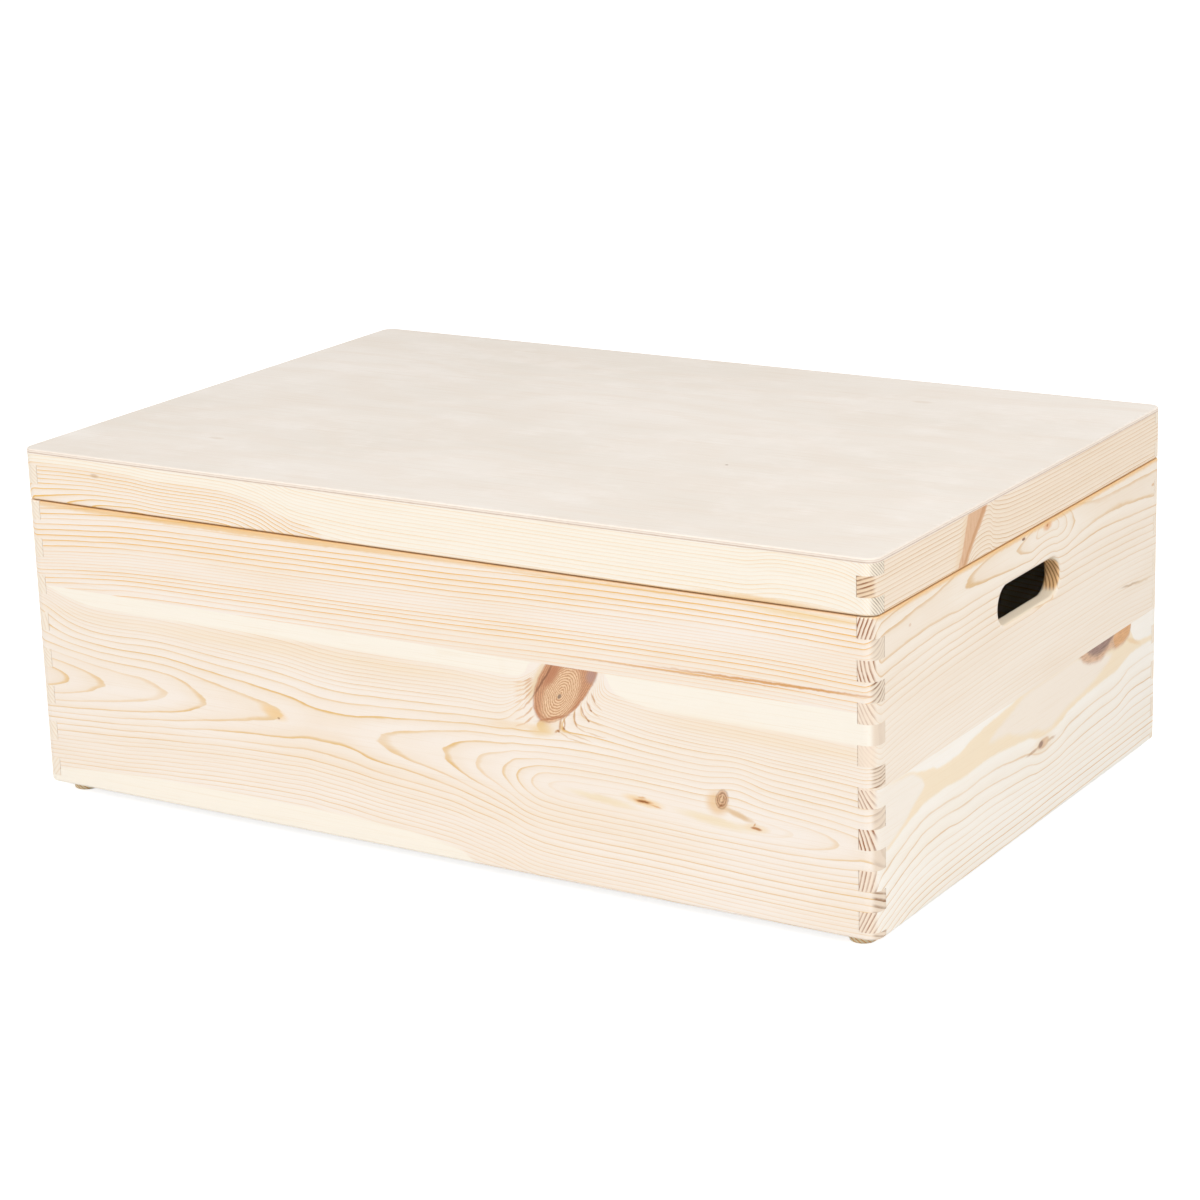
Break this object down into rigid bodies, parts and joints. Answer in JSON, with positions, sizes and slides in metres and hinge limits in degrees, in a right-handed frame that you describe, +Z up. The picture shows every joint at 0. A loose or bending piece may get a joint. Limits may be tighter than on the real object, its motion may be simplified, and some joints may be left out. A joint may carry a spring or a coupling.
{
  "type": "wooden storage box with hinged lid",
  "caption": "Finger-jointed pine storage box with a plywood-topped hinged lid, a hand slot in each short side and small round feet.",
  "frame": {"origin": "on the ground under the middle of the footprint, which takes in the hinges that stand out behind the back wall", "axes": "+X to the right along the long side, +Y to the back where the hinges are, +Z up"},
  "size_m": [0.6, 0.4072, 0.228],
  "materials": {
    "pine": "raw sanded pine, no varnish",
    "plywood": "raw sanded birch plywood",
    "hinge_brass": "satin brass",
    "brad_steel": "plain steel wire"
  },
  "bodies": {
    "box": {"front_wall_upper_board": "pine", "front_wall_lower_board": "pine", "back_wall_upper_board": "pine", "back_wall_lower_board": "pine", "left_wall_upper_board": "pine", "left_wall_lower_board": "pine", "right_wall_upper_board": "pine", "right_wall_lower_board": "pine", "bottom_panel": "plywood", "bottom_panel_brads": "brad_steel", "front_left_foot": "pine", "front_right_foot": "pine", "back_left_foot": "pine", "back_right_foot": "pine", "left_hinge_box_leaf": "hinge_brass", "right_hinge_box_leaf": "hinge_brass", "left_hinge_pin": "hinge_brass", "right_hinge_pin": "hinge_brass", "box_hinge_screws": "hinge_brass"},
    "lid": {"lid_front_rail": "pine", "lid_back_rail": "pine", "lid_left_rail": "pine", "lid_right_rail": "pine", "lid_panel": "plywood", "left_hinge_lid_leaf": "hinge_brass", "right_hinge_lid_leaf": "hinge_brass", "lid_hinge_screws": "hinge_brass"}
  },
  "joints": [
    {"name": "lid_hinge", "type": "hinge", "parent": "box", "child": "lid", "pos_m": [0, 0.19938, 0.195], "axis": [-1, 0, 0], "range_deg": [0, 95]}
  ]
}
